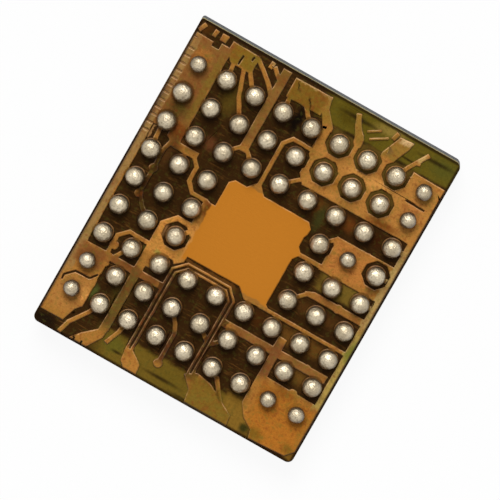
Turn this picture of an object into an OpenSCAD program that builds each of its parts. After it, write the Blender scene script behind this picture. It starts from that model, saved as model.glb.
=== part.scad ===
// Ball grid array package, 6 x 7 mm, lying on its moulded face with the solder balls up.
// The origin is the centre of the moulded face. +Z points to the balls, +X runs along the
// short side and +Y along the long side, towards ball row A.

/* [Package] */
// Distance from the outer ball columns to the long edges
side_margin = 0.4; // [0.36:0.01:0.6]
// Distance from the outer ball rows to the short edges
end_margin = 0.9; // [0.81:0.01:1.2]
// Radius of three worn corners
corner_r = 0.13; // [0.06:0.01:0.2]
// Radius of the sharper corner beside ball A1
index_corner_r = 0.05; // [0.03:0.01:0.2]

/* [Mould cap] */
// Thickness of the moulding compound, from its face to the substrate
mould_t = 0.55; // [0.5:0.01:0.8]
// Diameter of the round index recess in the moulded face
index_mark_d = 0.5; // [0.3:0.05:0.8]
// Depth of the index recess
index_mark_depth = 0.03; // [0.02:0.01:0.05]
// Distance from the package edges to the centre of the index recess
index_mark_inset = 0.6; // [0.5:0.05:0.9]

/* [Substrate] */
// Thickness of the glass laminate core
core_t = 0.15; // [0.1:0.01:0.25]
// Thickness of each copper layer
copper_t = 0.02; // [0.012:0.001:0.022]
// Thickness of the ball side mask over bare laminate
mask_t = 0.024; // [0.023:0.001:0.03]
// Thickness of the mask over copper
mask_cover_t = 0.018; // [0.013:0.001:0.025]
// Distance that the copper stays back from the package edge
copper_setback = 0.03; // [0.02:0.01:0.05]

/* [Ball grid] */
// Distance between ball centres, both ways
ball_pitch = 0.65; // [0.64:0.005:0.66]
// Distance that the grid sits off the middle of the package, toward the index end
grid_shift = 0.05; // [0:0.01:0.06]
// Diameter of a solder ball
ball_d = 0.40; // [0.36:0.01:0.42]
// Diameter of the mask opening that a ball wets
mask_opening_d = 0.32; // [0.28:0.01:0.34]
// Diameter of a ball that stands on a wide plane, where the solder spreads
plane_ball_d = 0.35; // [0.32:0.01:0.37]
// Diameter of the mask opening of a ball on a plane
plane_opening_d = 0.28; // [0.24:0.01:0.29]
// Diameter of the copper pad under a ball
ball_pad_d = 0.42; // [0.38:0.01:0.44]

/* [Ball side copper] */
// Width of a plain trace
trace_w = 0.1; // [0.08:0.005:0.105]
// Width of the fine traces of the arch under the centre pad
arch_w = 0.062; // [0.05:0.001:0.065]
// Distance between the centre lines of the two arch traces
arch_spacing = 0.095; // [0.09:0.001:0.1]
// Width of the thin etched grooves in the planes
groove_w = 0.03; // [0.02:0.005:0.04]
// Distance across the corners of the clearance that a plane leaves around a pad
clearance_d = 0.58; // [0.54:0.01:0.6]
// Distance between the plating stubs along the left edge
stub_pitch = 0.17; // [0.15:0.01:0.2]
// Length of the plating stubs, from the end of the copper
stub_len = 0.14; // [0.1:0.01:0.16]

/* [Die] */
// Width of the silicon die
die_w = 2.8; // [2.4:0.1:2.9]
// Length of the silicon die
die_l = 3.4; // [3.0:0.1:3.5]
// Thickness of the silicon die
die_t = 0.2; // [0.15:0.01:0.25]
// Thickness of the die attach film
attach_t = 0.02; // [0.015:0.005:0.03]

/* [Bond wires] */
// Diameter of a bond wire
wire_d = 0.025; // [0.018:0.001:0.03]
// Diameter of the ball bond at the die end of a wire
bond_d = 0.06; // [0.05:0.005:0.07]
// Height of the wire loop over the die
loop_h = 0.12; // [0.08:0.01:0.15]
// Distance from the die edge to the ball bonds
bond_inset = 0.08; // [0.06:0.01:0.12]
// Distance between neighbouring ball bonds, along every side of the die
bond_pitch = 0.24; // [0.15:0.01:0.3]
// Width of a bond finger
finger_w = 0.1; // [0.08:0.01:0.12]
// Length of a bond finger
finger_len = 0.25; // [0.2:0.01:0.26]
// Distance from the die edge to the fingers
finger_gap = 0.3; // [0.26:0.01:0.3]
// Distance between neighbouring fingers along the long sides of the die
finger_pitch_y = 0.5; // [0.45:0.01:0.51]
// Distance between neighbouring fingers along the short sides of the die
finger_pitch_x = 0.28; // [0.24:0.01:0.3]
// Distance from the fingers to the edge of the mask window around them
window_margin = 0.04; // [0.03:0.01:0.05]

/* [Vias] */
// Diameter of a drilled via hole
via_drill_d = 0.12; // [0.1:0.01:0.13]
// Thickness of the copper plated on the wall of the hole
via_plating_t = 0.02; // [0.015:0.001:0.025]
// Diameter of the copper land around a via
via_land_d = 0.2; // [0.18:0.01:0.21]

/* [Hidden] */
$fn = 48;

// The ball grid: nine rows and nine columns, with the middle three by three left out
half_grid = 4;
half_gap = 1;
columns = [-half_grid:half_grid];
plane_balls = [[-4, 4], [4, 4], [4, 3], [3, 1], [-4, -3], [-4, -4], [3, -4], [4, -4]];

// Width of the package along X and its length along Y: the grid and the margins around it
body_w = 2 * (half_grid * ball_pitch + side_margin);
body_l = 2 * (half_grid * ball_pitch + end_margin);

// Heights of the layers, from the moulded face up
z_core = mould_t + copper_t + mask_cover_t;
z_ball_side = z_core + core_t;
z_pad = z_ball_side + copper_t;
z_mask = z_pad + mask_cover_t;
z_attach = mould_t - attach_t;
z_die = z_attach - die_t;
z_finger = z_core - copper_t;

// Ends of the copper, counted in ball pitches from the centre of the grid: at the sides, at
// the index end and at the foot end
ex = (body_w / 2 - copper_setback) / ball_pitch;
ey = (body_l / 2 - grid_shift - copper_setback) / ball_pitch;
fy = (body_l / 2 + grid_shift - copper_setback) / ball_pitch;

// Vias in ball pitches from the centre, all of them in copper of the ball side. Each side of
// the die has one finger for each via, counted from the low end up.
left_vias = [
    [-3.55, -3.6], [-3.5, -2.8], [-3.52, -2.2], [-3.64, -0.4], [-3.64, 0.5], [-3.5, 1.5],
    [-3.5, 2.5], [-3.5, 3.5]
];
right_vias = [
    [3.5, -4.3], [3.58, -3.5], [3.58, -2.62], [3.5, -0.5], [3.5, 0.45], [3.5, 1.35],
    [3.5, 2.7], [3.5, 3.5]
];
top_vias = [
    [-3.16, ey - 0.48], [-2.68, 4.76], [-1.5, 4.62], [-0.93, ey - 0.46], [-0.55, ey - 0.46],
    [-0.14, ey - 0.46], [1.42, 4.5], [2.5, 4.62], [3.58, 4.18]
];
bottom_vias = [
    [-3.9, -4.72], [-2.84, 0.3 - fy], [-1.26, 0.22 - fy], [-0.52, -4.74], [0.92, 0.22 - fy],
    [1.3, 0.22 - fy], [1.68, 0.24 - fy], [2.06, 0.22 - fy], [3.0, -4.72]
];

// Where the bond fingers start
finger_x = die_w / 2 + finger_gap;
finger_y = die_l / 2 + finger_gap;
via_bore_d = via_drill_d - 2 * via_plating_t;

// Overshoot of a cut past the face it opens
cut = 0.01;

// ---- Shapes shared by several pieces ----

// Points of one rounded corner, turning from the given angle
function corner(x, y, r, from) =
    [for (i = [0:5]) [x, y] + r * [cos(from + 18 * i), sin(from + 18 * i)]];

// Outline of the package: its width and length, its worn corners and the sharper one
module package_2d(w = body_w / 2, l = body_l / 2, r = corner_r, ri = index_corner_r) {
    polygon(concat(corner(w - r, l - r, r, 0), corner(ri - w, l - ri, ri, 90),
                   corner(r - w, r - l, r, 180), corner(w - r, r - l, r, 270)));
}

module layer(z, t) {
    translate([0, 0, z]) linear_extrude(t) children();
}

// Points counted in ball pitches from the centre of the grid, turned into millimetres
function at(points) =
    is_list(points[0]) ? [for (p = points) at(p)] : points * ball_pitch + [0, grid_shift];

// Direction across a trace at one of its points, lengthened at a bend so that the width holds
function across(a, b) = let (d = (b - a) / norm(b - a)) [-d.y, d.x];
function mitre(points, i) =
    i == 0 ? across(points[0], points[1])
    : i == len(points) - 1 ? across(points[i - 1], points[i])
    : let (m = across(points[i - 1], points[i]), n = across(points[i], points[i + 1]))
        (m + n) / (1 + m * n);

module trace(points, w = trace_w) {
    last = len(points) - 1;
    polygon(concat([for (i = [0:last]) points[i] + mitre(points, i) * w / 2],
                   [for (i = [last:-1:0]) points[i] - mitre(points, i) * w / 2]));
}

module rectangle(low, high) {
    translate(at(low)) square((high - low) * ball_pitch);
}

// True where the grid has a ball
function has_ball(x, y) = abs(x) > half_gap || abs(y) > half_gap;

// True where the ball stands on a wide plane
function on_plane(p) = len([for (q = plane_balls) if (q == p) q]) > 0;

// Puts its first child at each ball, and its last child at each ball on a plane
module at_balls(rows = columns) {
    for (y = rows, x = columns)
        if (has_ball(x, y))
            translate(at([x, y])) children(on_plane([x, y]) ? $children - 1 : 0);
}

module at_vias() {
    for (vias = [left_vias, right_vias, top_vias, bottom_vias], p = vias)
        translate(at(p)) children();
}

// ---- Copper of the ball side ----
// The points of the copper are counted in ball pitches from the centre of the grid.

// The pad under the die, the root of the trace that leaves it upwards, and its two arms
centre_pad = [
    [-1.4, -1.4], [-1.4, 1.28], [-1.25, 1.43], [-0.84, 1.43], [-0.62, 1.68], [-0.46, 1.68],
    [-0.22, 1.43], [1.38, 1.43], [1.55, 1.25], [1.55, 1.05], [1.49, 0.92], [1.49, 0.6],
    [1.62, 0.47], [2.42, 0.47], [2.42, 0.31], [1.62, 0.31], [1.5, 0.15], [1.5, -1.48],
    [1.6, -1.55], [4.42, -1.55], [4.42, -1.69], [0.8, -1.69], [0.48, -1.4]
];

// Copper around ball F3, which joins the pad to the strips at the left
pad_link = [
    [-1.36, -0.4], [-2.26, -0.4], [-2.64, -0.82], [-2.64, -1.72], [-1.72, -1.72],
    [-1.62, -1.82], [-1.36, -1.6]
];

// Plane of rows A and B at the right, with the three strips that leave it upwards
top_right_plane = [
    [0.3, 4.2], [0.3, 3.5], [0.36, 2.62], [0.6, 2.31], [ex, 2.34], [ex, 4.36], [3.42, 4.39],
    [3.42, 4.2]
];
first_strip = [
    [0.32, 4.1], [0.02, 4.62], [-0.1, ey - 0.14], [0.12, ey - 0.09], [0.2, ey - 0.48],
    [0.6, 4.32], [0.64, 4.1]
];
second_strip = [
    [1.36, 4.1], [1.3, 4.4], [1.14, ey - 0.54], [0.98, ey - 0.16], [1.14, ey - 0.1],
    [1.34, ey - 0.46], [1.6, 4.5], [1.66, 4.1]
];
third_strip = [
    [2.3, 4.1], [2.26, 4.44], [2.54, ey - 0.14], [3.02, ey - 0.1], [2.98, ey - 0.36],
    [2.76, 4.4], [2.72, 4.1]
];
// Plane of row D and the margin beside rows C to H
right_plane = [[2.36, 1.48], [4.4, 1.5], [4.4, 0.26], [2.36, 0.28]];
right_margin = [[4.36, 2.5], [ex, 2.5], [ex, -3.52], [4.36, -3.5]];
// Strips between rows E and F, and between rows G and H
upper_strip = [[2.34, -0.5], [2.62, -0.38], [4.4, -0.38], [4.4, -0.63], [2.34, -0.63]];
lower_strip = [[0.6, -2.49], [4.28, -2.49], [4.28, -2.77], [0.6, -2.77]];
// Plane of rows H and J at the right, down to the short edge
bottom_right_plane = [
    [2.34, -2.6], [2.64, -2.6], [2.64, -3.42], [ex, -3.46], [ex, 0.36 - fy], [4.32, 0.08 - fy],
    [3.06, -fy], [2.98, 0.28 - fy], [2.62, 0.5 - fy], [2.34, -4.5]
];
// Copper under row J: below the arch, below column 6 and below column 3
bottom_plane = [
    [0.34, -4.62], [0.7, -4.4], [1.2, -4.48], [2.24, 0.36 - fy], [2.3, -fy], [0.76, -fy],
    [0.7, 0.42 - fy]
];
arch_foot = [
    [-1.64, -4.78], [-1.39, -4.78], [-0.98, 0.34 - fy], [-0.94, -fy], [-1.42, -fy],
    [-1.58, 0.18 - fy]
];
left_foot = [
    [-2.66, -4.4], [-2.36, -4.4], [-2.4, 0.5 - fy], [-2.72, -fy], [-3.34, -fy], [-3.06, 0.34 - fy],
    [-2.66, -4.72]
];
// Plane at the upper left corner with the strip of the left edge
left_plane = [
    [-ex, 4.7], [-3.7, 4.7], [-3.7, ey - 0.34], [-3.3, ey - 0.34], [-3.3, 1.6], [-2.62, 1.6],
    [-2.62, 1.34], [-3.42, 1.34], [-3.78, 1.6], [-3.78, 1.78], [-4.3, 1.7], [-4.3, -2.6],
    [-ex, -2.6]
];
// Plane of rows H and J at the left
bottom_left_plane = [
    [-ex, -2.5], [-3.42, -2.46], [-3.42, -4.36], [-3.6, -4.56], [-3.76, 0.38 - fy], [-ex, 0.38 - fy]
];
// Copper over row A, left of the middle
top_middle_plane = [[-1.18, 4.46], [0.06, 4.46], [0.02, ey - 0.1], [-1.18, ey - 0.12]];
top_left_plane = [
    [-3.2, 4.52], [-2.44, 4.52], [-2.44, ey - 0.12], [-3.42, ey - 0.1], [-3.42, ey - 0.44]
];

plane_outlines = [
    top_right_plane, first_strip, second_strip, third_strip, right_plane, right_margin,
    upper_strip, lower_strip, bottom_right_plane, bottom_plane, arch_foot, left_foot,
    left_plane, bottom_left_plane, pad_link, top_middle_plane, top_left_plane
];

// Bars of copper between the balls, each with its low and high corner
bars = [
    [[-1.66, 2.3], [-1.35, ey - 0.06]], [[-1.78, -0.44], [-1.34, 0.43]],
    [[-2.42, -2.3], [-2.1, -1.68]], [[-2.65, -4.66], [-2.35, -1.66]],
    [[-3.6, -2.72], [-1.6, -2.47]], [[2.32, -2.64], [2.63, -2.12]], [[-3.82, ey - 0.3], [-3.58, ey - 0.05]]
];

// Balls that a plane leaves clear
cleared = [
    [1, 4], [2, 4], [3, 4], [0, 3], [1, 3], [2, 3], [3, 3], [2, 1], [4, 1], [-2, -1]
];

// Grooves etched in the planes
grooves = [
    [[3.64, 3.5], [4.3, 3.48]], [[-2.94, 4.6], [-2.92, ey - 0.34]],
    [[-2.66, ey - 0.48], [-2.6, ey - 0.22]],
    [[-3.5, -3.26], [-3.66, -3.48], [-4.16, -3.5], [-4.42, -3.76], [-4.42, -3.92]]
];

// Traces as wide as trace_w
traces = [
    // from the pad up between columns 4 and 5 to the plane at the top right
    [[-0.53, 1.6], [-0.53, 3.16], [-0.32, 3.42], [0.4, 3.42]],
    // around ball D3 and over ball E3
    [[-1.45, 0.28], [-1.72, 0.41], [-2.22, 0.41], [-2.48, 0.7], [-2.48, 1.18], [-2.76, 1.46]],
    // around ball G2
    [[-2.6, -1.62], [-3.3, -1.6], [-3.58, -1.88], [-3.58, -2.56]],
    // down the left to ball F2
    [[-3.56, 1.5], [-3.64, 1.2], [-3.64, -0.36], [-3.34, -0.74], [-3, -1]],
    // fan-out over row A
    [[-2.74, 4.62], [-2.42, 3.72], [-2, 3]],
    [[-3.1, 4.66], [-3, 4]], [[-2.56, 4.66], [-2.28, 4.26], [-2, 4]], [[-1.06, 4.6], [-1, 4]],
    [[-2.5, ey - 0.18], [-2.1, 4.76], [-1.8, 4.5], [-1.56, 4.2]],
    [[-1.92, ey - 0.16], [-1.56, 4.76]],
    [[-0.45, 4.5], [-0.3, 4.3], [0, 4]],
    [[3.6, ey - 0.2], [3.22, 4.44], [3, 4]],
    // fan-out under row J
    [[-3, -4], [-3.16, -4.4], [-3.58, 0.42 - fy], [-3.7, -fy]],
    [[-2, -4], [-2.05, -4.5], [-2.26, 0.42 - fy]],
    [[1, -4], [1.3, -4.25], [1.8, 0.5 - fy]],
    // from a ball to the copper beside it
    [[-2, 2], [-1.6, 2.42]], [[-1, 2], [-1.42, 2.44]], [[0, 2], [0.5, 2.44]],
    [[2, 1], [2.44, 1.42]], [[2, -1], [2.5, -0.5]], [[-2, -1], [-1.5, -0.5]],
    [[1, -3], [0.6, -3.44]],
    [[0, -3], [0.43, -3.38]], [[-1, -3], [-0.66, -3.4], [-0.52, -3.7], [-0.52, -4.74]],
    [[-3, -2], [-3.36, -2.56]], [[-3, 1], [-3, 1.44]], [[-4, 1], [-4.08, 1.78]],
    // plating stubs along the upper short edge
    [[-4.52, ey - 0.34], [-4.4, ey - 0.06]], [[-4.03, ey - 0.3], [-4.0, ey - 0.05]],
    [[-2.03, ey - 0.3], [-2.0, ey - 0.05]], [[2.36, ey - 0.34], [2.44, ey - 0.06]],
    [[-4.55, ey - 0.48], [-3.94, ey - 0.5]]
];

// Traces as fine as arch_w
fine_traces = [
    [[1.55, 4.76], [1.94, ey - 0.26]], [[1.72, 4.58], [2.24, ey - 0.36]], [[3.3, 4.62], [3.5, 4.66]]
];

// Rows whose outer ball has a lead to the strip along the left or the right edge, and the
// place where such a lead ends
left_lead_rows = [-2, -1, 0];
right_lead_rows = [0, 1, 2];
lead_end = 4.4;

// Where the plating stubs start and stop, along the left edge and along the lower short edge
edge_stubs = [1.5, 4.6];
foot_stubs = [-3.2, -2.7];

// One of the two fine traces that arch over balls G4 and G5, set in by d
function arch(d) = [
    [-1.66 + d, 0.48 - fy], [-1.66 + d, -1.9 - d / 2], [-1.26 + d / 2, -1.5 - d],
    [0.3 - d / 2, -1.5 - d], [0.66 - d, -1.88 - d / 2], [0.66 - d, -4.64]
];

module arches(z, t) {
    for (i = [0:1])
        layer(z, t) trace(at(arch((0.5 + i) * arch_spacing / ball_pitch)), arch_w);
}

// Grooves that part the end of the left plane and of the left foot into short plating stubs
module stub_gaps(z, t) {
    for (y = [edge_stubs[0] * ball_pitch:stub_pitch:edge_stubs[1] * ball_pitch])
        translate([-body_w / 2, y, z]) cube([copper_setback + stub_len, groove_w, t]);
    for (x = [foot_stubs[0] * ball_pitch:stub_pitch:foot_stubs[1] * ball_pitch])
        translate([x, -body_l / 2, z]) cube([groove_w, copper_setback + stub_len / 2, t]);
}

module planes(z, t) {
    difference() {
        union() {
            for (outline = plane_outlines) layer(z, t) polygon(at(outline));
            for (bar = bars) layer(z, t) rectangle(bar[0], bar[1]);
        }
        for (p = cleared)
            layer(z - cut, t + 2 * cut)
                translate(at(p)) rotate(22.5) circle(d = clearance_d, $fn = 8);
        for (path = grooves) layer(z - cut, t + 2 * cut) trace(at(path), groove_w);
        stub_gaps(z - cut, t + 2 * cut);
    }
}

// All the copper pattern of the ball side, from height z and t thick
module ball_side_pattern(z, t) {
    planes(z, t);
    layer(z, t) polygon(at(centre_pad));
    arches(z, t);
    for (path = traces) layer(z, t) trace(at(path));
    for (path = fine_traces) layer(z, t) trace(at(path), arch_w);
    for (y = left_lead_rows) layer(z, t) trace(at([[-half_grid, y], [-lead_end, y]]));
    for (y = right_lead_rows) layer(z, t) trace(at([[half_grid, y], [lead_end, y]]));
    at_balls() layer(z, t) circle(d = ball_pad_d);
    at_vias() layer(z, t) circle(d = via_land_d);
}

module ball_side_copper() {
    color("peru") difference() {
        ball_side_pattern(z_ball_side, copper_t);
        via_plugs();
    }
}

module ball_side_mask() {
    color("saddlebrown") difference() {
        union() {
            layer(z_ball_side, mask_t) package_2d();
            ball_side_pattern(z_pad, mask_cover_t);
        }
        ball_side_pattern(z_ball_side - cut, copper_t + cut);
        at_balls() {
            layer(z_ball_side, z_mask) circle(d = mask_opening_d);
            layer(z_ball_side, z_mask) circle(d = plane_opening_d);
        }
    }
}

// ---- Solder balls ----

// One ball: its neck fills the mask opening and its sphere is cut flat where it leaves it
module ball(d, opening) {
    translate([0, 0, z_pad]) cylinder(d = opening, h = mask_cover_t);
    difference() {
        translate([0, 0, z_mask + sqrt(d * d - opening * opening) / 2]) sphere(d = d);
        translate([-d, -d, z_mask - d]) cube([2 * d, 2 * d, d]);
    }
}

// A row of balls, counted down from row A
module balls_row(index) {
    color("silver") at_balls([half_grid - index]) {
        ball(ball_d, mask_opening_d);
        ball(plane_ball_d, plane_opening_d);
    }
}

// ---- Laminate core and vias ----

module laminate_core() {
    color("olivedrab") difference() {
        layer(z_core, core_t) package_2d();
        at_vias() layer(z_core - cut, core_t + 2 * cut) circle(d = via_drill_d);
    }
}

module via_barrels() {
    color("orange") at_vias() difference() {
        layer(z_core, core_t) circle(d = via_drill_d);
        layer(z_core - cut, core_t + 2 * cut) circle(d = via_bore_d);
    }
}

module via_plugs() {
    color("darkgreen") at_vias() layer(z_finger, core_t + 2 * copper_t) circle(d = via_bore_d);
}

// ---- Die side of the substrate ----

// Place of one finger in a row of them, counted from the middle of the row
function finger_offset(vias, i) = i - (len(vias) - 1) / 2;

// Fingers beside the long sides of the die, each with a trace that leads to its via
module side_finger_pattern(z, t) {
    for (side = [-1, 1]) {
        vias = side < 0 ? left_vias : right_vias;
        for (i = [0:len(vias) - 1]) {
            y = finger_offset(vias, i) * finger_pitch_y;
            middle = side * (finger_x + finger_len / 2);
            bend = side * (finger_x + finger_len + trace_w);
            layer(z, t) translate([middle, y]) square([finger_len, finger_w], center = true);
            layer(z, t) trace([[middle, y], [bend, y], at(vias[i])]);
        }
    }
}

// Fingers beside the short sides of the die, each with a trace that fans out to its via
module end_finger_pattern(z, t) {
    for (side = [-1, 1]) {
        vias = side < 0 ? bottom_vias : top_vias;
        for (i = [0:len(vias) - 1]) {
            x = finger_offset(vias, i) * finger_pitch_x;
            middle = side * (finger_y + finger_len / 2);
            bend = side * (finger_y + finger_len + trace_w);
            layer(z, t) translate([x, middle]) square([finger_w, finger_len], center = true);
            layer(z, t) trace([[x, middle], [x, bend], at(vias[i])]);
        }
    }
}

// All the copper pattern of the die side, from height z and t thick
module die_side_pattern(z, t) {
    layer(z, t) square([die_w, die_l], center = true);
    side_finger_pattern(z, t);
    end_finger_pattern(z, t);
    at_vias() layer(z, t) circle(d = via_land_d);
}

module die_side_copper() {
    color("peru") difference() {
        die_side_pattern(z_finger, copper_t);
        via_plugs();
    }
}

// Slots of the mask over the fingers, which the moulding compound fills
module finger_windows(z, t) {
    side_span = (len(left_vias) - 1) * finger_pitch_y + finger_w + 2 * window_margin;
    end_span = (len(top_vias) - 1) * finger_pitch_x + finger_w + 2 * window_margin;
    depth = finger_len + 2 * window_margin;
    for (side = [-1, 1]) {
        layer(z, t) translate([side * (finger_x + finger_len / 2), 0])
            square([depth, side_span], center = true);
        layer(z, t) translate([0, side * (finger_y + finger_len / 2)])
            square([end_span, depth], center = true);
    }
}

module die_side_mask() {
    color("darkgreen") difference() {
        layer(mould_t, copper_t + mask_cover_t) package_2d();
        die_side_pattern(z_finger, copper_t + cut);
        finger_windows(mould_t - cut, copper_t + mask_cover_t + 2 * cut);
    }
}

// ---- Die, film and bond wires ----

module silicon_die() {
    color("slategray") layer(z_die, die_t) square([die_w, die_l], center = true);
}

module die_attach_film() {
    color("dimgray") layer(z_attach, attach_t) square([die_w, die_l], center = true);
}

// A bond wire along +X from its ball bond on the die to its foot on the finger. Each ring of
// the sweep is [distance, height, turn of the ring, radius].
function wire_rings(span) = [
    [0, z_die, 0, bond_d / 2],
    [0, z_die - 0.5 * wire_d, 0, bond_d / 2],
    [0, z_die - wire_d, 0, wire_d / 2],
    [0.02 * span, z_die - 0.8 * loop_h, 10, wire_d / 2],
    [0.14 * span, z_die - loop_h, 75, wire_d / 2],
    [0.5 * span, z_die - 0.6 * loop_h, 120, wire_d / 2],
    [span, z_finger, 180, wire_d / 2]
];

wire_sides = 6;

function ring_points(ring) = [
    for (i = [0:wire_sides - 1])
        let (a = 360 * i / wire_sides, across = ring[3] * cos(a))
            [ring[0] + across * cos(ring[2]), ring[3] * sin(a), ring[1] + across * sin(ring[2])]
];

module wire(span) {
    rings = wire_rings(span);
    last = len(rings) - 1;
    polyhedron(
        points = [for (ring = rings) each ring_points(ring)],
        faces = concat(
            [[for (i = [0:wire_sides - 1]) i]],
            [for (r = [0:last - 1], i = [0:wire_sides - 1])
                let (a = r * wire_sides + i, b = r * wire_sides + (i + 1) % wire_sides)
                    [a, a + wire_sides, b + wire_sides, b]],
            [[for (i = [wire_sides - 1:-1:0]) last * wire_sides + i]]
        )
    );
}

// Wires of one side of the die, laid out as if the side faced +X: from the bonds beside the
// die edge to the middles of the fingers
module wires_out(edge, count, finger_pitch) {
    start = edge - bond_inset;
    reach = edge + finger_gap + finger_len / 2 - start;
    for (i = [0:count - 1]) {
        k = i - (count - 1) / 2;
        run = [reach, k * (finger_pitch - bond_pitch)];
        translate([start, k * bond_pitch, 0]) rotate(atan2(run.y, run.x)) wire(norm(run));
    }
}

module bond_wires_side() {
    wires_out(die_w / 2, len(left_vias), finger_pitch_y);
}

module bond_wires_end() {
    wires_out(die_l / 2, len(top_vias), finger_pitch_x);
}

module bond_wires_east() { color("gold") bond_wires_side(); }
module bond_wires_west() { color("gold") rotate(180) bond_wires_side(); }
module bond_wires_north() { color("gold") rotate(90) bond_wires_end(); }
module bond_wires_south() { color("gold") rotate(-90) bond_wires_end(); }

// ---- Mould cap ----

module mould_cap() {
    color("dimgray") difference() {
        union() {
            layer(0, mould_t) package_2d();
            finger_windows(mould_t - cut, copper_t + mask_cover_t + cut);
        }
        die_side_pattern(z_finger, copper_t + cut);
        layer(z_die, mould_t - z_die) square([die_w, die_l], center = true);
        bond_wires_east();
        bond_wires_west();
        bond_wires_north();
        bond_wires_south();
        translate([index_mark_inset - body_w / 2, body_l / 2 - index_mark_inset, -cut])
            cylinder(d = index_mark_d, h = index_mark_depth + cut);
    }
}

mould_cap();
silicon_die();
die_attach_film();
bond_wires_north();
bond_wires_south();
bond_wires_east();
bond_wires_west();
die_side_mask();
die_side_copper();
laminate_core();
via_barrels();
via_plugs();
ball_side_copper();
ball_side_mask();
balls_row(0);  // balls_row_a
balls_row(1);  // balls_row_b
balls_row(2);  // balls_row_c
balls_row(3);  // balls_row_d
balls_row(4);  // balls_row_e
balls_row(5);  // balls_row_f
balls_row(6);  // balls_row_g
balls_row(7);  // balls_row_h
balls_row(8);  // balls_row_j
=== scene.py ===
import math
import bpy
from mathutils import Matrix, Vector


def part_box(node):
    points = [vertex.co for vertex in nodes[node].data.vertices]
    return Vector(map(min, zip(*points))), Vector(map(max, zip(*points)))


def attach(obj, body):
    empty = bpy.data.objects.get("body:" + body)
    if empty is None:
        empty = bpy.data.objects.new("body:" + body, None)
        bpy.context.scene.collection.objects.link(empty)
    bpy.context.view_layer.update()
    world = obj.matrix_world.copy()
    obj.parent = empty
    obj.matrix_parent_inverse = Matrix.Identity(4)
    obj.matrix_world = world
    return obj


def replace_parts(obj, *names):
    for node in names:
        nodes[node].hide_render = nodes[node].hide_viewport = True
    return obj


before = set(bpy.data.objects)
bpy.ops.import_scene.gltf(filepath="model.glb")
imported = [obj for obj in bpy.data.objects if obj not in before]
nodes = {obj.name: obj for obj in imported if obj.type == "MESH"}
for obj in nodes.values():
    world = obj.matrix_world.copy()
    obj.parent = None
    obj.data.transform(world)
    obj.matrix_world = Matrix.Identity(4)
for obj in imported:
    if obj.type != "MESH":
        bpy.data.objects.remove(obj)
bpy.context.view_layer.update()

print("frame loaded:", len(nodes), "nodes")

micron = 0.000001

grid = {
    "rows": "abcdefghj",
    "reach": 4,                # ball spacings from the middle of the grid to its outer row
    "gap": 1,                  # and to the rim of the empty middle
}


def middle(name):
    low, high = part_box(name)
    return (low + high) / 2


# One ball spacing is the unit of all places on the ball side, counted from the middle of the
# grid, which sits a little off the middle of the package
firstRow, lastRow = middle("balls_row_a"), middle("balls_row_j")
spacing = (firstRow.y - lastRow.y) / (2 * grid["reach"])
gridShift = (firstRow.y + lastRow.y) / 2


def ballPlaces(reach, gap):
    return [(x, y) for y in range(reach, -reach - 1, -1) for x in range(-reach, reach + 1)
            if abs(x) > gap or abs(y) > gap]


ballSpots = ballPlaces(grid["reach"], grid["gap"])


def nearBall(point, within):
    x, y = round(point[0] / spacing), round((point[1] - gridShift) / spacing)
    away = math.hypot(point[0] - x * spacing, point[1] - y * spacing - gridShift)
    return (x, y) in ballSpots and away < within


def only(piece):
    if bpy.context.object and bpy.context.object.mode != "OBJECT":
        bpy.ops.object.mode_set(mode="OBJECT")
    bpy.ops.object.select_all(action="DESELECT")
    piece.hide_set(False)
    piece.select_set(True)
    bpy.context.view_layer.objects.active = piece
    return piece


# Edit mode, with only those faces or edges selected that pass the test
def choose(piece, kind, test):
    bpy.ops.object.mode_set(mode="EDIT")
    bpy.ops.mesh.select_mode(type=kind)
    bpy.ops.mesh.select_all(action="DESELECT")
    bpy.ops.object.mode_set(mode="OBJECT")
    for part in piece.data.polygons if kind == "FACE" else piece.data.edges:
        part.select = test(part)
    bpy.ops.object.mode_set(mode="EDIT")


def copyNode(name, newName):
    only(nodes[name])
    bpy.ops.object.duplicate()
    piece = bpy.context.object
    piece.parent = None
    for key in [k for k in piece.keys() if k.startswith("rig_")]:
        del piece[key]
    piece.name = piece.data.name = newName
    return only(piece)


def displace(piece, direction, depth, grain, seed):
    clouds = bpy.data.textures.new(f"{piece.name}Clouds{seed}", "CLOUDS")
    clouds.noise_scale, clouds.noise_depth = grain, 2
    wobble = piece.modifiers.new("wobble", "DISPLACE")
    wobble.texture, wobble.texture_coords = clouds, "LOCAL"
    wobble.direction, wobble.strength, wobble.mid_level = direction, depth, 0.5
    only(piece)
    bpy.ops.object.modifier_apply(modifier="wobble")


# From display values of 0 to 255 to the linear colour that a socket takes
def tone(red, green, blue):
    return tuple(((c / 255 + 0.055) / 1.055) ** 2.4 if c > 10 else c / 255 / 12.92
                 for c in (red, green, blue)) + (1.0,)


class Socket:
    def __init__(self, finish, link):
        self.finish, self.link = finish, link

    def __add__(self, other):
        return self.finish.math("ADD", self, other)

    def __sub__(self, other):
        return self.finish.math("SUBTRACT", self, other)

    def __rsub__(self, other):
        return self.finish.math("SUBTRACT", other, self)

    def __mul__(self, other):
        return self.finish.math("MULTIPLY", self, other)

    def __truediv__(self, other):
        return self.finish.math("DIVIDE", self, other)

    def __rtruediv__(self, other):
        return self.finish.math("DIVIDE", other, self)

    __radd__, __rmul__ = __add__, __mul__


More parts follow.
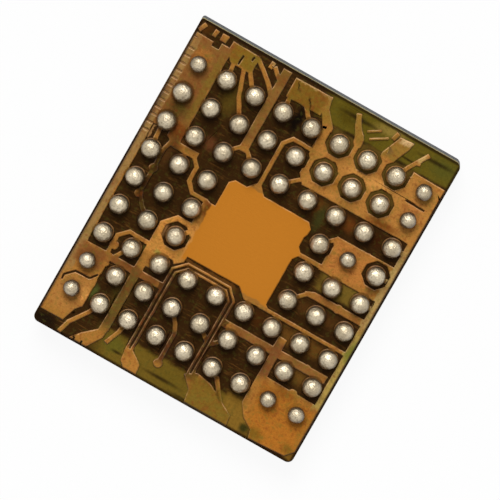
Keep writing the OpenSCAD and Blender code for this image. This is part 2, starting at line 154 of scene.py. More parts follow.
class Finish:
    def __init__(self, name, library="materials"):
        self.made = getattr(bpy.data, library).new(name)
        self.made.use_nodes = True
        self.tree = self.made.node_tree
        self.tree.nodes.clear()
        self.place = self.node("ShaderNodeTexCoord", {}, {}, "Object")

    def node(self, kind, settings, inputs, output=0):
        made = self.tree.nodes.new(kind)
        for key, value in settings.items():
            setattr(made, key, value)
        for key, value in inputs.items():
            if isinstance(value, Socket):
                self.tree.links.new(value.link, made.inputs[key])
            else:
                made.inputs[key].default_value = value
        if made.outputs:
            return Socket(self, made.outputs[output])

    def math(self, operation, first, second):
        return self.node("ShaderNodeMath", {"operation": operation}, {0: first, 1: second})

    def most(self, first, *others):
        for other in others:
            first = self.math("MAXIMUM", first, other)
        return first

    def vector(self, operation, first, second=(0, 0, 0), third=(0, 0, 0), output=0):
        return self.node("ShaderNodeVectorMath", {"operation": operation},
                         {0: first, 1: second, 2: third}, output)

    def split(self, vector):
        return [self.node("ShaderNodeSeparateXYZ", {}, {0: vector}, axis) for axis in range(3)]

    def mix(self, factor, under, over):
        return self.node("ShaderNodeMix", {"data_type": "RGBA"}, {0: factor, 6: under, 7: over}, 2)

    def tint(self, color, amount, over):
        return self.mix(amount, color, tone(*over))

    def shade(self, color, amount):
        gray = self.node("ShaderNodeCombineXYZ", {}, {0: amount, 1: amount, 2: amount})
        return self.node("ShaderNodeMix", {"data_type": "RGBA", "blend_type": "MULTIPLY"},
                         {0: 1.0, 6: color, 7: gray}, 2)

    # From 0 at low to 1 at high, and falling where low is the larger one
    def ease(self, value, low, high):
        return self.node("ShaderNodeMapRange", {"interpolation_type": "SMOOTHSTEP"},
                         {0: value, 1: low, 2: high, 3: 0.0, 4: 1.0})

    def noise(self, place, scale, detail=3.0, roughness=0.5, output=0):
        return self.node("ShaderNodeTexNoise", {"noise_dimensions": "3D"},
                         {"Vector": place, "Scale": scale, "Detail": detail,
                          "Roughness": roughness}, output)

    # An ellipse or a rectangle on the flat, with an edge that fades inwards
    def patch(self, place, spot, square=False):
        x, y, width, height, turn, soft = spot
        near = self.node("ShaderNodeMapping", {"vector_type": "TEXTURE"},
                         {"Vector": place, "Location": (x, y, 0),
                          "Rotation": (0, 0, math.radians(turn)),
                          "Scale": (width / 2, height / 2, 1)})
        if square:
            across, along, _ = self.split(self.vector("ABSOLUTE", near))
            away = self.most(across, along)
        else:
            away = self.vector("LENGTH", near, output="Value")
        return 1 - self.ease(away, 1 - soft, 1.0)

    def normal(self):
        return self.node("ShaderNodeTexCoord", {}, {}, "Normal")

    def facing(self, side):
        return self.vector("DOT_PRODUCT", self.normal(), side, output="Value")

    def bump(self, height, depth):
        return self.node("ShaderNodeBump", {}, {"Height": height, "Distance": depth})

    def surface(self, sockets):
        shader = self.node("ShaderNodeBsdfPrincipled", {}, sockets)
        self.node("ShaderNodeOutputMaterial", {}, {0: shader})
        return self.made

    # Rays from the camera, and those that shiny and clear surfaces send on
    def seen(self):
        return self.most(*[self.node("ShaderNodeLightPath", {}, {}, name)
                           for name in ("Is Camera Ray", "Is Glossy Ray", "Is Transmission Ray")])


def dress(piece, material):
    piece.data.materials.clear()
    piece.data.materials.append(material)
    return piece


wornMask = {
    "bareThickness": 24 * micron,
    "opening": 330 * micron,   # walls inside this width round a ball's middle are taken away
    "longest": 90 * micron,    # longest straight run of an outline that doesn't wander
    "halvings": 4,             # how often a longer run is halved
    "wander": 16 * micron,     # how far the etched outlines wander
    "wanderGrain": 140 * micron,
    "drawIn": 0.9986,          # keeps the wandering rim on the laminate
    "shoulder": 10 * micron,   # rounding of the raised edges
    "shoulderWidth": 24 * micron,
    "flatten": 4 * micron,     # a last narrow ring, inside which all is flat
    "sink": 3.5 * micron,      # how far the mask has sunk between the raised parts
    "gutterWidth": 14 * micron,
    "gutterHeight": 2.5 * micron,
    "flatAngle": 2,            # degrees between faces that count as one
    "smoothAngle": 62,
    # tones
    "raised": (160, 108, 46),
    "bare": (50, 30, 9),
    "streak": (104, 68, 28),
    "olive": (112, 98, 36),
    "rust": (120, 62, 26),
    "moss": (74, 72, 26),
    # tone of the painted highlight on edge slopes that face the key light
    "highlightTone": (214, 164, 112),
    # tone of the painted shade on edges and at the foot of walls, also of the margin lines and the
    # darkened sides
    "foot": (30, 17, 6),
    # tone of the painted shade and shadow around the balls
    "ballShade": (36, 21, 8),
    # strengths
    "mossiness": 0.3,
    # strength of the painted shade on edge slopes that face away from the key light
    "edgeShade": 0.35,
    # strength of the painted shade at the foot of walls
    "footShade": 0.5,
    # strength of the painted shade and shadow around the balls
    "ballShadeStrength": 0.55,
    # how dark the mask is made along the sides
    "rimDark": 0.85,
    "edgeCoat": 0.4,
    "specular": 0.02,
    "coatRoughness": 0.35,
    "relief": 5 * micron,
    "rise": (2, 14),           # microns above the bare parts, where the raised tone sets in
    # toward the key light; edge slopes that face it get the painted highlight
    "rubbedSide": (-0.49, 0.87, 0.0),
    "footReach": 60 * micron,  # how far the painted shade reaches out from the foot of a wall
    "ballShadeShift": (0.02, -0.06, 0),   # in ball spacings; moves the painted ball shadow away from the key light
    "rimReach": (-58, -8),     # microns from the sawn side, where its darkening sets in
    # how fine and how strong each fraying of the patches is, one laid on the other
    "frays": ((4.0, 0.2), (9.0, 0.15), (20.0, 0.05), (30.0, 0.03)),
    # noises: scale, detail and roughness
    "mottle": (11.0, 5.0, 0.7),
    "fine": (34.0, 2.0, 0.5),
    "pits": (26.0, 5.0, 0.6),
    "clouds": {"wide": (1.7, 3.0, 0.6), "small": (6.5, 3.0, 0.6)},
    "streaking": (2.2, 15, 1),
    # stains on the raised parts: tone, clouds, where they start and are full, strength
    "stains": (("olive", "wide", 0.52, 0.7, 0.35), ("rust", "wide", 0.46, 0.3, 0.4),
               ("olive", "small", 0.53, 0.66, 0.4), ("rust", "small", 0.46, 0.34, 0.45)),
    # places: x, y, width, height, turn in degrees and softness, in ball spacings from the middle
    # of the grid
    "pad": (0.06, -0.03, 3.3, 3.2, 0, 0.05),     # clean, with no stains or grime
    "balls": (0, 0, 9, 9, 0, 0.02),              # inside, painted shade lies around every ball
    "calm": (-4.66, 1.0, 0.7, 9.0, 0, 0.1),      # little painted shade on the edges of the stubs
    "quiet": (2.2, 3.5, 3.2, 2.1, 0, 0.1),       # less painted shade in the octagons
    # round the balls on wide planes there is little painted shade
    "planes": ((4, 3.5, 1, 2, 0, 0.2), (-4, 4, 1, 1, 0, 0.2), (-4, -3.5, 1, 2, 0, 0.2),
               (3.5, -4, 2, 1, 0, 0.2), (3, 1, 1, 1, 0, 0.2)),
    # thin dark lines across the bare margins
    "marginLines": ((1.2, 4.97, 2.0, 0.22, 0, 0.9), (3.9, 4.96, 1.9, 0.22, 1, 0.9),
                    (3.1, 4.62, 1.2, 0.12, -2, 0.9), (1.3, 4.4, 1.5, 0.2, 0, 0.9),
                    (2.9, 4.42, 0.7, 0.2, 0, 0.9), (-1.8, -5.08, 0.6, 0.16, 0, 0.9),
                    (-0.2, -5.12, 1.9, 0.2, 0, 0.9), (0.9, -5.34, 2.2, 0.16, 0, 0.9)),
    # patches of another tone: form, place as above, tone
    "raisedPatches": (
        ("square", 2.6, 3.3, 4.6, 2.2, 0, 0.2, (174, 118, 54)),
        # a painted shadow of the balls just above it
        ("round", 3.4, 2.45, 1.8, 0.5, 0, 0.9, (116, 66, 22)),
        ("round", 1.4, 2.45, 1.0, 0.4, 0, 0.9, (184, 124, 56)),
        ("round", 2.5, 3.45, 2.6, 0.6, 0, 0.8, (204, 142, 70)),
        ("round", 4.0, 3.2, 1.0, 1.2, 0, 0.9, (182, 118, 58)),
        ("round", 1.5, 2.9, 0.5, 0.6, 0, 0.8, (158, 104, 40)),
        ("square", 1.4, 4.75, 4.0, 0.9, 0, 0.3, (142, 104, 42)),
        ("round", 2.8, 5.1, 0.7, 0.4, 20, 0.8, (200, 164, 112)),
        ("round", 3.4, 4.9, 0.5, 0.6, 0, 0.8, (184, 148, 88)),
        ("square", -0.6, 4.85, 1.4, 1.1, 0, 0.3, (118, 84, 26)),
        ("round", 0.15, 4.5, 0.6, 0.6, 0, 0.9, (146, 104, 38)),
        ("square", -0.9, 5.2, 3.6, 0.3, 0, 0.5, (148, 114, 62)),
        ("square", -1.5, 3.9, 0.5, 3.0, 0, 0.3, (130, 90, 42)),
        ("square", -1.5, 4.9, 0.5, 0.7, 0, 0.4, (116, 80, 34)),
        ("square", -2.9, 4.9, 1.2, 0.9, 0, 0.4, (124, 92, 28)),
        ("square", -3.9, 3.3, 1.3, 3.9, 0, 0.2, (128, 84, 40)),
        ("square", -3.45, 3.4, 0.3, 3.0, 0, 0.5, (124, 92, 36)),
        ("round", -4.0, 4.2, 1.0, 0.9, 0, 0.9, (172, 110, 48)),
        ("round", -3.9, 2.5, 1.2, 1.0, 0, 0.9, (84, 58, 22)),
        ("square", -3.5, 1.9, 0.7, 0.7, 0, 0.6, (120, 66, 24)),
        ("square", -4.5, 0.5, 0.4, 9.8, 0, 0.3, (150, 114, 64)),
        ("round", -4.5, 2.4, 0.3, 2.2, 0, 0.8, (116, 88, 52)),
        ("square", 4.5, 0.6, 0.44, 3.6, 0, 0.3, (170, 138, 80)),
        ("square", 4.5, -2.2, 0.46, 3.4, 0, 0.25, (170, 142, 72)),
        ("round", 4.5, -1.5, 0.4, 1.2, 0, 0.8, (120, 116, 46)),
        ("square", 3.2, 0.9, 1.9, 1.3, 0, 0.4, (178, 114, 52)),
        ("round", 4.1, 0.6, 0.7, 0.7, 0, 0.9, (112, 72, 32)),
        ("square", 3.4, -0.5, 2.2, 0.4, 0, 0.4, (152, 100, 46)),
        ("square", 2.5, -2.62, 4.0, 0.4, 0, 0.4, (138, 92, 44)),
        ("square", -2.6, -2.58, 2.2, 0.4, 0, 0.4, (126, 78, 36)),
        ("square", 2.48, -2.9, 0.4, 1.6, 0, 0.4, (122, 78, 40)),
        ("square", -2.1, -1.1, 1.6, 1.7, 0, 0.3, (196, 132, 60)),
        ("round", -2.25, -1.75, 0.4, 0.24, 0, 0.8, (160, 138, 62)),
        ("round", -1.55, 0.2, 0.5, 0.9, 0, 0.8, (104, 58, 18)),
        ("square", -2.5, -3.6, 0.4, 2.6, 0, 0.4, (98, 74, 32)),
        ("square", -1.5, -3.4, 0.5, 3.2, 0, 0.2, (84, 52, 22)),
        ("square", 0.55, -3.3, 0.5, 3.2, 0, 0.2, (82, 50, 22)),
        ("square", -0.55, -4.1, 0.5, 1.6, 0, 0.5, (78, 50, 26)),
        ("square", -4.0, -2.85, 1.2, 0.8, 0, 0.5, (128, 80, 38)),
        ("square", -4.0, -4.1, 1.3, 1.6, 0, 0.5, (168, 114, 54)),
        ("round", -3.55, -4.0, 0.6, 0.7, 0, 0.8, (208, 142, 72)),
        ("round", -3.42, 0.2, 0.9, 4.0, 0, 0.5, (62, 38, 14)),
        ("round", -0.95, 4.92, 0.14, 0.5, 35, 0.8, (40, 24, 6)),
        ("round", -0.4, 4.64, 0.16, 0.6, 38, 0.8, (44, 28, 8)),
        ("square", 1.5, -5.0, 2.2, 1.3, 0, 0.4, (120, 90, 30)),
        ("round", 2.35, -4.95, 0.2, 1.3, 38, 0.9, (70, 50, 14)),
        ("round", 1.6, -4.7, 0.16, 0.9, 40, 0.9, (86, 62, 20)),
        ("square", 3.6, -4.5, 2.4, 2.2, 0, 0.4, (166, 102, 34)),
        ("round", 3.1, -5.2, 1.0, 0.7, 0, 0.8, (124, 86, 24)),
        ("round", 4.3, -5.1, 0.7, 0.6, 0, 0.8, (126, 88, 28)),
        ("round", 3.4, -3.6, 1.1, 0.6, 0, 0.9, (140, 86, 28)),
        ("square", -1.25, -5.1, 1.0, 0.9, 0, 0.4, (166, 112, 48)),
        ("square", 0.06, -0.03, 3.2, 3.04, 0, 0.04, (190, 119, 36)),
    ),
    "barePatches": (
        ("square", 2.4, 4.95, 5.4, 1.2, 0, 0.25, (92, 78, 20)),
        ("round", 4.2, 4.9, 1.4, 1.0, 0, 0.8, (82, 76, 24)),
        ("round", 0.9, 4.9, 1.4, 0.9, 0, 0.8, (76, 62, 12)),
        ("round", 2.2, 5.1, 1.6, 0.5, 10, 0.8, (128, 106, 46)),
        ("square", -0.2, -5.05, 5.4, 1.2, 0, 0.3, (104, 82, 26)),
        ("round", -2.0, -4.9, 1.0, 0.8, 0, 0.7, (94, 84, 26)),
        ("round", 0.1, -5.0, 1.5, 0.9, 0, 0.8, (100, 80, 24)),
        ("square", 2.4, -4.9, 1.4, 1.2, 0, 0.4, (124, 92, 32)),
        ("round", 2.8, -5.2, 0.5, 0.5, 0, 0.7, (52, 46, 14)),
        ("round", 4.5, -5.3, 0.6, 0.5, 0, 0.7, (108, 76, 26)),
        ("square", -4.6, 3.0, 0.8, 3.8, 0, 0.12, (146, 106, 62)),
        ("square", 3.2, 0.0, 1.7, 0.7, 0, 0.5, (112, 88, 32)),
        ("round", 2.5, 1.95, 1.0, 0.7, 0, 0.9, (100, 52, 18)),
        ("round", -2.5, 2.0, 0.7, 0.7, 0, 0.9, (94, 54, 28)),
        ("round", -2.45, -1.0, 0.34, 0.9, 0, 0.8, (140, 98, 56)),
        ("square", 2.0, 3.5, 2.9, 1.9, 0, 0.1, (88, 66, 24)),
        ("round", 1.7, 1.95, 2.6, 0.8, 0, 0.8, (88, 52, 16)),
        ("round", 3.5, 1.95, 1.0, 0.7, 0, 0.8, (54, 26, 6)),
        ("round", 1.6, 1.7, 0.5, 1.4, 0, 0.8, (56, 52, 20)),
        ("round", 3.0, -2.0, 3.4, 0.8, 0, 0.8, (96, 62, 22)),
        ("round", 1.5, -2.0, 0.9, 0.7, 0, 0.8, (66, 36, 10)),
        ("round", 3.0, -1.0, 2.4, 0.7, 0, 0.8, (78, 48, 18)),
        ("round", 3.5, -3.0, 1.2, 0.7, 0, 0.8, (98, 66, 24)),
        ("round", -2.6, 3.5, 0.9, 1.6, 0, 0.9, (84, 64, 20)),
        ("round", -3.0, 1.6, 1.2, 0.7, 0, 0.9, (92, 54, 20)),
        ("round", -3.5, 1.0, 0.5, 1.2, 0, 0.9, (72, 44, 18)),
        ("round", -2.4, -2.0, 1.1, 0.8, 0, 0.9, (96, 64, 28)),
        ("round", -2.56, -1.95, 0.36, 0.9, 0, 0.8, (72, 80, 22)),
        ("round", -3.34, -3.8, 0.34, 0.7, 0, 0.8, (74, 76, 32)),
        ("round", -4.3, -5.3, 1.4, 0.7, 0, 0.7, (28, 17, 7)),
        ("round", -2.6, -3.4, 0.9, 1.2, 0, 0.9, (76, 58, 20)),
        ("square", -0.5, -1.58, 2.3, 0.3, 0, 0.4, (92, 56, 20)),
        ("square", -1.52, -3.2, 0.34, 3.4, 0, 0.2, (52, 32, 13)),
        ("square", 0.52, -3.2, 0.34, 3.4, 0, 0.2, (56, 34, 14)),
        ("round", -0.5, -4.0, 0.5, 1.4, 0, 0.9, (58, 34, 16)),
        ("round", -0.5, 4.0, 0.5, 1.6, 0, 0.8, (16, 9, 4)),
        ("round", -4.4, 5.1, 0.8, 0.8, 0, 0.8, (72, 42, 12)),
    ),
}


def makeMask(shape):
    piece = copyNode("ball_side_mask", "wornMask")
    low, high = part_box("ball_side_mask")
    bottom, top, bare = low.z, high.z, low.z + shape["bareThickness"]
    bpy.ops.object.mode_set(mode="EDIT")
    bpy.ops.mesh.select_all(action="SELECT")
    bpy.ops.mesh.remove_doubles(threshold=micron / 2)
    # the round walls of the openings go, and their rims are closed
    choose(piece, "FACE", lambda f: abs(f.normal.z) < 0.5
           and nearBall(f.center, shape["opening"] / 2))
    bpy.ops.mesh.delete(type="FACE")
    bpy.ops.mesh.select_mode(type="EDGE")
    bpy.ops.mesh.select_all(action="DESELECT")
    bpy.ops.mesh.select_non_manifold(extend=False, use_wire=False, use_boundary=True,
                                     use_multi_face=False, use_non_contiguous=False,
                                     use_verts=False)
    bpy.ops.mesh.fill_holes(sides=0)
    bpy.ops.mesh.select_all(action="SELECT")
    bpy.ops.mesh.dissolve_limited(angle_limit=math.radians(shape["flatAngle"]))
    bpy.ops.object.mode_set(mode="OBJECT")
    print("mask merged:", len(piece.data.polygons), "faces")

    def isLong(edge):
        a, b = (piece.data.vertices[i].co for i in edge.vertices)
        return (a - b).length > shape["longest"] and abs(a.z - b.z) < micron \
            and min(a.z, b.z) > (bottom + bare) / 2

    # long straight outlines get points to wander by
    for turn in range(shape["halvings"]):
        choose(piece, "EDGE", isLong)
        bpy.ops.mesh.subdivide(number_cuts=1)
        bpy.ops.object.mode_set(mode="OBJECT")
    print("mask outlines cut:", len(piece.data.polygons), "faces")

    for direction, seed in (("X", 1), ("Y", 2)):
        displace(piece, direction, shape["wander"], shape["wanderGrain"], seed)
    bpy.ops.object.mode_set(mode="EDIT")
    bpy.ops.mesh.select_all(action="SELECT")
    bpy.ops.transform.resize(value=(shape["drawIn"], shape["drawIn"], 1),
                             center_override=(0, 0, 0))
    bpy.ops.mesh.quads_convert_to_tris(quad_method="BEAUTY", ngon_method="BEAUTY")
    bpy.ops.object.mode_set(mode="OBJECT")

    def isFlat(height):
        return lambda f: f.normal.z > 0.9 and abs(f.center.z - height) < micron

    # raised parts: a rounded shoulder all along their edges
    choose(piece, "FACE", isFlat(top))
    bpy.ops.transform.translate(value=(0, 0, -shape["shoulder"]))
    bpy.ops.mesh.inset(thickness=shape["shoulderWidth"], depth=shape["shoulder"],
                       use_even_offset=False)
    bpy.ops.mesh.inset(thickness=shape["flatten"], depth=0, use_even_offset=False)
    # bare parts: sunk a little, with a step along the foot of every wall
    choose(piece, "FACE", isFlat(bare))
    bpy.ops.transform.translate(value=(0, 0, -shape["sink"]))
    bpy.ops.mesh.inset(thickness=shape["gutterWidth"], depth=-shape["gutterHeight"],
                       use_even_offset=False)
    bpy.ops.object.mode_set(mode="OBJECT")
    bpy.ops.object.shade_smooth_by_angle(angle=math.radians(shape["smoothAngle"]))
    print("mask shaped:", len(piece.data.polygons), "faces")
    return piece


# Coordinates that wander more and more, so that what is laid on them has a ragged outline
def fray(finish, flat, frays):
    places = [flat]
    for scale, amount in frays:
        stray = finish.vector("SUBTRACT", finish.noise(places[-1], scale, output=1),
                              (0.5, 0.5, 0.5))
        places.append(finish.vector("MULTIPLY_ADD", stray, (amount, amount, 0), places[-1]))
    return places[1:]


# The patches take the frayed coordinates in turn, because a shader in which too many patches
# read the same ones has no room for them and turns black
def layPatches(finish, color, places, patches):
    for number, (form, *spot, patchTone) in enumerate(patches):
        inside = finish.patch(places[number % len(places)], spot, form == "square")
        color = finish.tint(color, inside, patchTone)
    return color


def colorRaised(finish, values, places, clouds, offPad):
    color = layPatches(finish, tone(*values["raised"]), places, values["raisedPatches"])
    for stain, cloud, start, full, strength in values["stains"]:
        amount = finish.ease(clouds[cloud], start, full) * strength * offPad
        color = finish.tint(color, amount, values[stain])
    return color


def colorBare(finish, values, flat, places, clouds, streaks):
    cloth = finish.ease(streaks, 0.5, 0.72) * finish.ease(finish.noise(flat, 2.3, 2.0), 0.35, 0.6)
    color = finish.tint(tone(*values["bare"]), cloth * 0.75, values["streak"])
    color = layPatches(finish, color, places, values["barePatches"])
    for line in values["marginLines"]:
        color = finish.tint(color, finish.patch(flat, line) * 0.8, values["foot"])
    moss = finish.ease(clouds["small"], 0.52, 0.66) * values["mossiness"]
    return finish.tint(color, moss, values["moss"])


# Painted shade round the balls: a dark collar where they meet the mask, and a painted shadow that
# leans to the side away from the key light, thin on the wide planes
def shadeAtBalls(finish, values, flat, mottle):
    ballCentre = finish.vector("FLOOR", finish.vector("ADD", flat, (0.5, 0.5, 0)))
    fromBall = finish.vector("SUBTRACT", flat, ballCentre)
    collar = finish.vector("LENGTH", fromBall, output="Value") + mottle * 0.08
    ring = finish.vector("DISTANCE", fromBall, values["ballShadeShift"], output="Value")
    ballShade = finish.most(finish.ease(collar, 0.42, 0.37),
                        finish.ease(ring + mottle * 0.14, 0.47, 0.37))
    onPlane = finish.most(*[finish.patch(flat, spot, True) for spot in values["planes"]])
    return ballShade * finish.patch(flat, values["balls"], True) * (1 - onPlane * 0.75)


# Darker all along the sides
def darkAtRim(finish, values, mottle):
    corner = tuple(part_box("laminate_core")[1])
    rim = finish.vector("SUBTRACT", finish.vector("ABSOLUTE", finish.place), corner)
    close = finish.most(*finish.split(rim)[:2]) / micron + mottle * 50
    return finish.ease(close, *values["rimReach"]) * values["rimDark"]


def finishMask(values):
    finish = Finish("amberMask")
    unit = 1 / spacing
    flat = finish.vector("MULTIPLY_ADD", finish.place, (unit, unit, 0), (0, -gridShift * unit, 0))
    height = finish.split(finish.place)[2] / micron
    places = fray(finish, flat, values["frays"])
    mottle, fine = finish.noise(flat, *values["mottle"]), finish.noise(flat, *values["fine"])
    clouds = {name: finish.noise(flat, *cloud) for name, cloud in values["clouds"].items()}
    streaks = finish.noise(finish.vector("MULTIPLY", flat, values["streaking"]), 1.0, 4.0, 0.65)
    offPad = 1 - finish.patch(flat, values["pad"], True)
    calm = 1 - finish.patch(flat, values["calm"], True) * 0.75
    quiet = 1 - finish.patch(flat, values["quiet"], True) * 0.45

    bareTop = (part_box("ball_side_mask")[0].z + values["bareThickness"] - values["sink"]) / micron
    raised = finish.ease(height, *(bareTop + step for step in values["rise"]))
    color = finish.mix(raised, colorBare(finish, values, flat, places, clouds, streaks),
                       colorRaised(finish, values, places, clouds, offPad))

    # edges: a painted highlight, pale and patchy, on the slopes that face the key light, and
    # painted shade on the slopes that face away from it
    towardKey = finish.facing(values["rubbedSide"])
    slope = finish.ease(finish.split(finish.normal())[2], 0.995, 0.93) * raised
    rubbed = finish.ease(towardKey, 0.02, 0.3) * slope * finish.ease(mottle, 0.25, 0.55)
    highlightStrength = finish.ease(finish.noise(flat, 2.7, 1.0), 0.4, 0.65) * 0.4 + 0.12
    color = finish.tint(color, rubbed * highlightStrength, values["highlightTone"])
    shadedEdges = finish.ease(towardKey, -0.02, -0.3) * slope * calm
    color = finish.tint(color, shadedEdges * values["edgeShade"], values["foot"])

    # painted shade, read from ambient occlusion, fades out from the foot of every wall
    hollow = 1 - finish.node("ShaderNodeAmbientOcclusion", {"only_local": True, "samples": 8},
                             {"Distance": values["footReach"]}, "AO")
    wallShade = finish.ease(hollow, 0.02, 0.32) * (1 - raised) * calm * quiet
    color = finish.tint(color, wallShade * values["footShade"], values["foot"])

    # painted shade and shadow around the balls
    ballShade = shadeAtBalls(finish, values, flat, mottle) * offPad * quiet
    color = finish.tint(color, ballShade * values["ballShadeStrength"], values["ballShade"])
    color = finish.tint(color, darkAtRim(finish, values, mottle), values["foot"])

    # light and dark all over, and less of it on the pad
    shade = mottle * (offPad * 0.85 + 0.1) + fine * (offPad * 0.4 + 0.08)
    color = finish.shade(color, shade + (0.93 - offPad * 0.52))
    relief = finish.noise(flat, *values["pits"]) * 0.7 + streaks * 0.6
    return finish.surface({"Base Color": color, "Roughness": mottle * 0.3 + 0.2,
                           "Coat Weight": slope * values["edgeCoat"],
                           "Normal": finish.bump(relief, values["relief"]),
                           "Specular IOR Level": values["specular"],
                           "Coat Roughness": values["coatRoughness"]})


mask = makeMask(wornMask)
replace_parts(dress(mask, finishMask(wornMask)), "ball_side_mask")
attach(mask, "root")
print("mask finished")


solderBall = {
    "radius": 200 * micron,
    # the smaller balls on wide planes: column and row, from the middle of the grid
    "planeBalls": ((-4, 4), (4, 4), (4, 3), (3, 1), (-4, -3), (-4, -4), (3, -4), (4, -4)),
    "planeRadius": 175 * micron,
    "planeDrop": 40 * micron,  # how much lower they end
    "headroom": 6 * micron,    # what the lumps may add on top
    "lump": 14 * micron,
    "lumpGrain": 90 * micron,
    "crust": 5 * micron,
    "crustGrain": 30 * micron,
    "subdivisions": 5,
    "smoothAngle": 50,
    "dull": (176, 160, 130),
    "bright": (204, 189, 160),
    "speck": (120, 106, 84),
    # tone of the painted shade on the side of each ball that faces away from the key light
    "shadedSide": (100, 78, 50),
    "shadedSideDirection": (0.42, -0.9, -0.1),
    # tone of the painted shade and dark reflection low on each ball
    "foot": (66, 50, 33),
    "footReach": (1080, 965),  # microns above the moulded face, where the painted shade and dark reflection low on the ball set in
}


def makeBall(name, radius, drop, shape):
    low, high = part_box("balls_row_a")
    height = high.z - shape["headroom"] - drop - radius
    bpy.ops.object.select_all(action="DESELECT")
    bpy.ops.mesh.primitive_ico_sphere_add(subdivisions=shape["subdivisions"], radius=radius,
                                          location=(0, 0, height))
    ball = bpy.context.object
    ball.name = name
    bpy.ops.object.transform_apply(location=True, rotation=True, scale=True)
    bpy.ops.object.mode_set(mode="EDIT")
    bpy.ops.mesh.select_all(action="SELECT")
    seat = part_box("ball_side_mask")[1].z
    bpy.ops.mesh.bisect(plane_co=(0, 0, seat), plane_no=(0, 0, 1), use_fill=True,
                        clear_inner=True)
    choose(ball, "FACE", lambda f: f.normal.z < -0.99 and f.center.z < seat + micron)
    bpy.ops.mesh.extrude_region_move(TRANSFORM_OT_translate={"value": (0, 0, low.z - seat)})
    bpy.ops.object.mode_set(mode="OBJECT")
    return ball


def makeRow(index, letter, fullBall, planeBall, shape):
    row = grid["reach"] - index
    copies = []
    for x in [x for x, y in ballSpots if y == row]:
        only(planeBall if (x, row) in shape["planeBalls"] else fullBall)
        bpy.ops.object.duplicate()
        bpy.ops.transform.translate(value=(x * spacing, row * spacing + gridShift, 0))
        bpy.ops.object.transform_apply(location=True, rotation=True, scale=True)
        copies.append(bpy.context.object)
    for piece in copies:
        piece.select_set(True)
    bpy.ops.object.join()
    balls = bpy.context.object
    balls.name = balls.data.name = f"solderRow{letter.upper()}"
    for kind, seed in (("lump", 2 * index), ("crust", 2 * index + 1)):
        displace(balls, "NORMAL", shape[kind], shape[kind + "Grain"], seed)
    bpy.ops.object.shade_smooth_by_angle(angle=math.radians(shape["smoothAngle"]))
    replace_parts(balls, f"balls_row_{letter}")
    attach(balls, "root")
    return balls


def finishSolder(values):
    finish = Finish("mattSolder")
    spacings = finish.vector("MULTIPLY", finish.place, (1 / spacing,) * 3)
    height = finish.split(finish.place)[2] / micron
    grain = finish.noise(spacings, 16.0, 4.0, 0.65)
    crystals = finish.node("ShaderNodeTexVoronoi", {}, {"Vector": spacings, "Scale": 13.0})
    patchy = finish.noise(spacings, 2.1, 2.0)
    color = finish.mix(finish.ease(patchy, 0.35, 0.65), tone(*values["dull"]),
                       tone(*values["bright"]))
    color = finish.tint(color, finish.ease(grain, 0.5, 0.72) * 0.8, values["speck"])
    # painted shade on the side of each ball that faces away from the key light
    shadedSide = finish.facing(values["shadedSideDirection"])
    color = finish.tint(color, finish.ease(shadedSide + grain * 0.3, 0.2, 1.0) * 0.6, values["shadedSide"])
    # painted shade and dark reflection, darker toward the foot of each ball
    foot = finish.ease(height + grain * 60, *values["footReach"])
    color = finish.tint(color, foot * 0.87, values["foot"])
    return finish.surface({"Base Color": color, "Roughness": grain * 0.25 + 0.24,
                           "Normal": finish.bump(grain + crystals * 0.6, 12 * micron),
                           "Metallic": 0.75, "Coat Weight": 0.6, "Coat Roughness": 0.16})


solder = finishSolder(solderBall)
fullBall = makeBall("fullBall", solderBall["radius"], 0, solderBall)
planeBall = makeBall("planeBall", solderBall["planeRadius"], solderBall["planeDrop"], solderBall)
for index, letter in enumerate(grid["rows"]):
    dress(makeRow(index, letter, fullBall, planeBall, solderBall), solder)
bpy.data.objects.remove(fullBall)
bpy.data.objects.remove(planeBall)
print("solder balls placed")


mouldCompound = {
    "dark": (26, 26, 28),
    "light": (60, 60, 62),
    "filler": (130, 130, 128),
    "sawMarks": (300, 300, 40000),   # fine across the height, long along the sides
    "relief": 6 * micron,
}


def finishMould(values):
    finish = Finish("mouldCompound")
    millimetres = finish.vector("MULTIPLY", finish.place, (1000, 1000, 1000))
    grain = finish.noise(millimetres, 60.0, 3.0, 0.7)
    saw = finish.noise(finish.vector("MULTIPLY", finish.place, values["sawMarks"]), 1.0, 2.0)
    fleck = finish.ease(finish.noise(millimetres, 34.0, 1.0), 0.68, 0.74)
    color = finish.mix(grain, tone(*values["dark"]), tone(*values["light"]))
    color = finish.tint(color, fleck * 0.6, values["filler"])
    return finish.surface({"Base Color": color, "Roughness": grain * 0.2 + 0.6,
                           "Normal": finish.bump(grain * 0.6 + saw * 0.4, values["relief"])})


laminateEdge = {
    "resin": (84, 74, 26),
    "glass": (150, 128, 66),
    "layers": (6000, 6000, 60000),   # thin flat layers of glass cloth
    "relief": 5 * micron,
}


def finishLaminate(values):
    finish = Finish("laminateEdge")
    layer = finish.noise(finish.vector("MULTIPLY", finish.place, values["layers"]), 1.0, 2.0)
    color = finish.mix(finish.ease(layer, 0.35, 0.65), tone(*values["resin"]),
                       tone(*values["glass"]))
    return finish.surface({"Base Color": color, "Roughness": layer * 0.2 + 0.5,
                           "Normal": finish.bump(layer, values["relief"])})


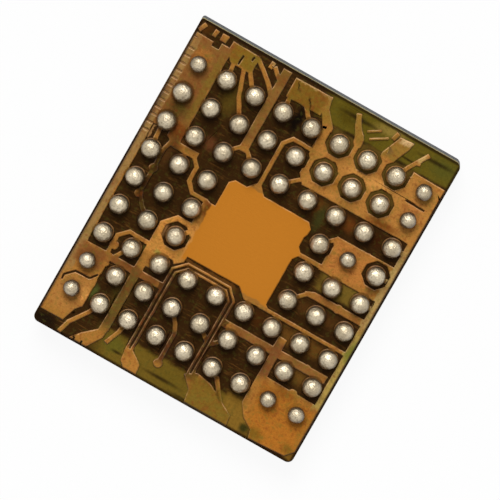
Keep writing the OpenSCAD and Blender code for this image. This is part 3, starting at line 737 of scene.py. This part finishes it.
# Dark tone, light tone, metallic, fineness of the grain, and the nodes that wear it
plainFinishes = {
    "copper": ((150, 84, 50), (205, 130, 86), 1.0, 30000, ("die_side_copper",)),
    # kept dark: this copper shows only in the narrow rings beside the balls, and its dark tone is
    # painted shade
    "copperInShade": ((22, 12, 5), (64, 36, 16), 0.2, 30000, ("ball_side_copper",)),
    "goldWire": ((200, 150, 60), (236, 190, 96), 1.0, 60000,
                 ("bond_wires_north", "bond_wires_south", "bond_wires_east", "bond_wires_west")),
    "silicon": ((70, 74, 80), (98, 102, 110), 0.6, 8000, ("silicon_die",)),
    "attachFilm": ((90, 90, 86), (130, 130, 124), 0.0, 20000, ("die_attach_film",)),
    "dieSideMask": ((24, 66, 26), (44, 96, 40), 0.0, 20000, ("die_side_mask",)),
    "viaPlug": ((22, 50, 22), (40, 70, 34), 0.0, 30000, ("via_plugs",)),
    "viaPlating": ((180, 110, 66), (214, 150, 100), 1.0, 30000, ("via_barrels",)),
}


def finishPlain(name, dark, light, metallic, fineness):
    finish = Finish(name)
    grain = finish.noise(finish.place, fineness, 3.0, 0.6)
    color = finish.mix(grain, tone(*dark), tone(*light))
    return finish.surface({"Base Color": color, "Roughness": grain * 0.3 + 0.3,
                           "Normal": finish.bump(grain, 2 * micron), "Metallic": metallic})


dress(nodes["mould_cap"], finishMould(mouldCompound))
dress(nodes["laminate_core"], finishLaminate(laminateEdge))
for name, (*look, wearers) in plainFinishes.items():
    material = finishPlain(name, *look)
    for wearer in wearers:
        dress(nodes[wearer], material)
print("nodes finished")


studio = {
    "worldStrength": 0.45,
    "keyStrength": 2.3,
    "keyHeight": 48,           # degrees above the table
    "keyAngle": 34,            # apparent width of the lamp, in degrees
    "floorSize": 0.6,          # metres
    "floorColor": (0.9, 0.9, 0.9, 1),
    "floorGlow": 0.92,         # how much of the floor that is seen is plain white
}
view = {
    "target": (0.000142, -0.000106, 0.000776),
    "turn": 29.76,             # degrees that the part lies turned in the view
    "lean": (-1.5, 6.6),       # degrees off straight above, toward +X and toward +Y
    "away": 0.12,              # metres
    "field": 0.01006,          # width of the view at the target, in metres
    "sensor": 36,              # millimetres
    "clip": (0.0005, 10),      # metres
}


def makeFloor(values):
    bpy.ops.object.select_all(action="DESELECT")
    bpy.ops.mesh.primitive_plane_add(size=values["floorSize"], location=(0, 0, -micron))
    floor = bpy.context.object
    floor.name = "floor"
    bpy.ops.object.transform_apply(location=True, rotation=True, scale=True)
    finish = Finish("paleFloor")
    matt = finish.node("ShaderNodeBsdfDiffuse", {}, {"Color": values["floorColor"]})
    glow = finish.node("ShaderNodeEmission", {}, {"Strength": 1.0})
    blend = finish.node("ShaderNodeMixShader", {},
                        {0: finish.seen() * values["floorGlow"], 1: matt, 2: glow})
    finish.node("ShaderNodeOutputMaterial", {}, {0: blend})
    dress(floor, finish.made)


def makeWorld(strength):
    finish = Finish("studio", "worlds")
    white = (1, 1, 1, 1)
    soft = finish.node("ShaderNodeBackground", {}, {"Color": white, "Strength": strength})
    pale = finish.node("ShaderNodeBackground", {}, {"Color": white, "Strength": 1.0})
    blend = finish.node("ShaderNodeMixShader", {}, {0: finish.seen(), 1: soft, 2: pale})
    finish.node("ShaderNodeOutputWorld", {}, {0: blend})
    bpy.context.scene.world = finish.made


def makeLights(values, turn):
    height, side = math.radians(values["keyHeight"]), math.radians(turn)
    toward = Vector((-math.sin(side) * math.cos(height), math.cos(side) * math.cos(height),
                     math.sin(height)))
    bpy.ops.object.select_all(action="DESELECT")
    bpy.ops.object.light_add(type="SUN", location=toward * 0.1)
    key = bpy.context.object
    key.name = "keyLight"
    key.rotation_euler = toward.to_track_quat("Z", "Y").to_euler()
    key.data.energy = values["keyStrength"]
    key.data.angle = math.radians(values["keyAngle"])


def makeCamera(values):
    turn = math.radians(values["turn"])
    lean = math.radians(math.hypot(*values["lean"]))
    back = Vector(values["lean"]).normalized().to_3d() * math.sin(lean)
    back.z = math.cos(lean)
    right = Vector((math.cos(turn), math.sin(turn), 0))
    right = (right - back * right.dot(back)).normalized()
    bpy.ops.object.select_all(action="DESELECT")
    bpy.ops.object.camera_add(location=Vector(values["target"]) + back * values["away"])
    camera = bpy.context.object
    camera.name = "camera"
    camera.rotation_euler = Matrix((right, back.cross(right), back)).transposed().to_euler()
    camera.data.sensor_width = values["sensor"]
    camera.data.lens = values["sensor"] * values["away"] / values["field"]
    camera.data.clip_start, camera.data.clip_end = values["clip"]
    bpy.context.scene.camera = camera


makeFloor(studio)
makeWorld(studio["worldStrength"])
makeLights(studio, view["turn"])
makeCamera(view)
bpy.context.scene.view_settings.view_transform = "Standard"
print("stage set")
